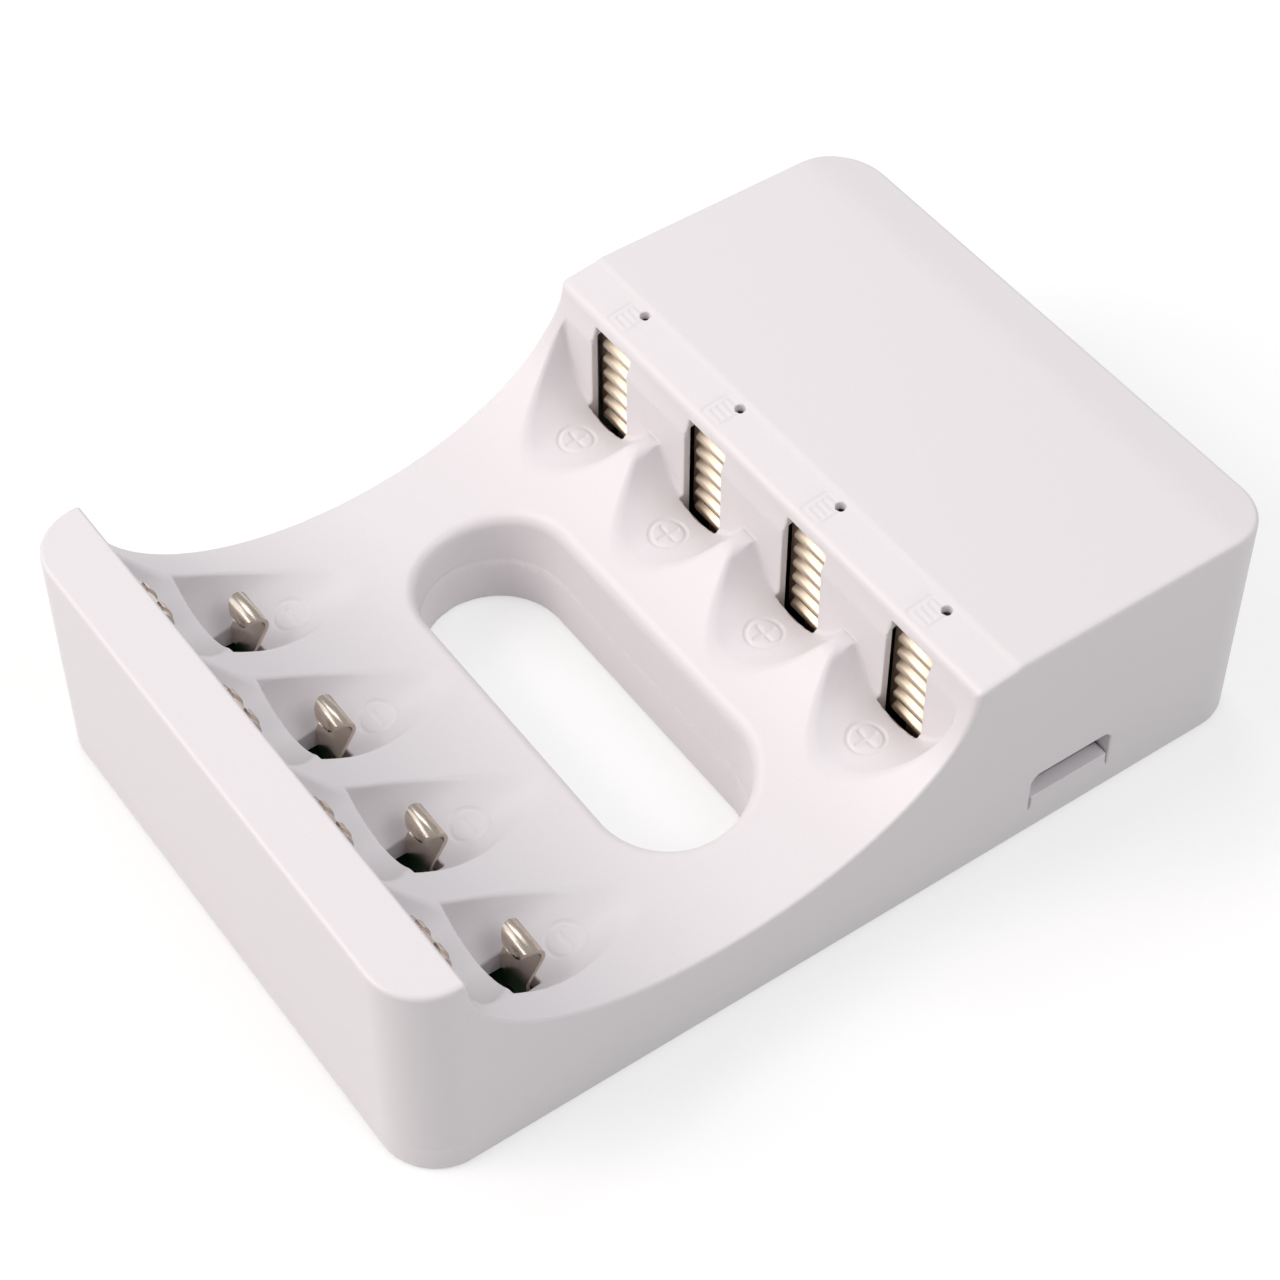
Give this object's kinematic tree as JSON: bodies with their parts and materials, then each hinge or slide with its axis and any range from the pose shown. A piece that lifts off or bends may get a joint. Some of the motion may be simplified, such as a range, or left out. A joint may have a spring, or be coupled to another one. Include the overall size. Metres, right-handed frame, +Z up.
{
  "type": "battery charger",
  "caption": "Desktop charger for AA and AAA cells: moulded case with an elliptical saddle, finger slot, parallel cell bays with sprung contacts, indicator holes and a side power inlet.",
  "frame": {"origin": "under the middle of the case, on the table plane", "axes": "+Z up, +Y from the front lip towards the housing, +X to the side with the power inlet"},
  "size_m": [0.0638, 0.0938, 0.0255],
  "materials": {
    "white_case": "satin moulded",
    "white_cover": "satin moulded",
    "plated_strip": "nickel plated",
    "screw_steel": "zinc plated",
    "socket_steel": "nickel plated",
    "circuit_board": "solder mask",
    "black_plastic": "moulded",
    "clear_plastic": "clear",
    "lamp_body": "translucent",
    "grey_ferrite": "pressed",
    "can_aluminium": "drawn",
    "lead_sleeve": "extruded"
  },
  "bodies": {
    "case": {"top_shell": "white_case", "bottom_cover": "white_cover", "case_screws": "screw_steel", "main_board": "circuit_board", "front_board": "circuit_board", "positive_contact_1": "plated_strip", "positive_contact_2": "plated_strip", "positive_contact_3": "plated_strip", "positive_contact_4": "plated_strip", "negative_lead_1": "lead_sleeve", "negative_lead_2": "lead_sleeve", "negative_lead_3": "lead_sleeve", "negative_lead_4": "lead_sleeve", "usb_socket": "socket_steel", "usb_tongue": "black_plastic", "light_guide": "clear_plastic", "indicator_leds": "lamp_body", "charge_controller": "black_plastic", "power_inductor": "grey_ferrite", "filter_capacitors": "can_aluminium", "charge_transistors": "black_plastic", "sense_resistors": "black_plastic"},
    "aa_spring_1": {"aa_spring_1": "plated_strip"},
    "aa_spring_2": {"aa_spring_2": "plated_strip"},
    "aa_spring_3": {"aa_spring_3": "plated_strip"},
    "aa_spring_4": {"aa_spring_4": "plated_strip"},
    "aaa_hook_1": {"aaa_hook_1": "plated_strip"},
    "aaa_hook_2": {"aaa_hook_2": "plated_strip"},
    "aaa_hook_3": {"aaa_hook_3": "plated_strip"},
    "aaa_hook_4": {"aaa_hook_4": "plated_strip"}
  },
  "joints": [
    {"name": "aa_spring_1_flex", "type": "hinge", "parent": "case", "child": "aa_spring_1", "pos_m": [-0.0228, -0.0425, 0.0042], "axis": [1, 0, 0], "range_deg": [0, 4], "stiffness_Nm_per_rad": 0.4},
    {"name": "aa_spring_2_flex", "type": "hinge", "parent": "case", "child": "aa_spring_2", "pos_m": [-0.0076, -0.0425, 0.0042], "axis": [1, 0, 0], "range_deg": [0, 4], "stiffness_Nm_per_rad": 0.4},
    {"name": "aa_spring_3_flex", "type": "hinge", "parent": "case", "child": "aa_spring_3", "pos_m": [0.0076, -0.0425, 0.0042], "axis": [1, 0, 0], "range_deg": [0, 4], "stiffness_Nm_per_rad": 0.4},
    {"name": "aa_spring_4_flex", "type": "hinge", "parent": "case", "child": "aa_spring_4", "pos_m": [0.0228, -0.0425, 0.0042], "axis": [1, 0, 0], "range_deg": [0, 4], "stiffness_Nm_per_rad": 0.4},
    {"name": "aaa_hook_1_flex", "type": "hinge", "parent": "case", "child": "aaa_hook_1", "pos_m": [-0.0228, -0.03071, 0.0042], "axis": [1, 0, 0], "range_deg": [0, 18], "stiffness_Nm_per_rad": 0.03},
    {"name": "aaa_hook_2_flex", "type": "hinge", "parent": "case", "child": "aaa_hook_2", "pos_m": [-0.0076, -0.03071, 0.0042], "axis": [1, 0, 0], "range_deg": [0, 18], "stiffness_Nm_per_rad": 0.03},
    {"name": "aaa_hook_3_flex", "type": "hinge", "parent": "case", "child": "aaa_hook_3", "pos_m": [0.0076, -0.03071, 0.0042], "axis": [1, 0, 0], "range_deg": [0, 18], "stiffness_Nm_per_rad": 0.03},
    {"name": "aaa_hook_4_flex", "type": "hinge", "parent": "case", "child": "aaa_hook_4", "pos_m": [0.0228, -0.03071, 0.0042], "axis": [1, 0, 0], "range_deg": [0, 18], "stiffness_Nm_per_rad": 0.03}
  ]
}
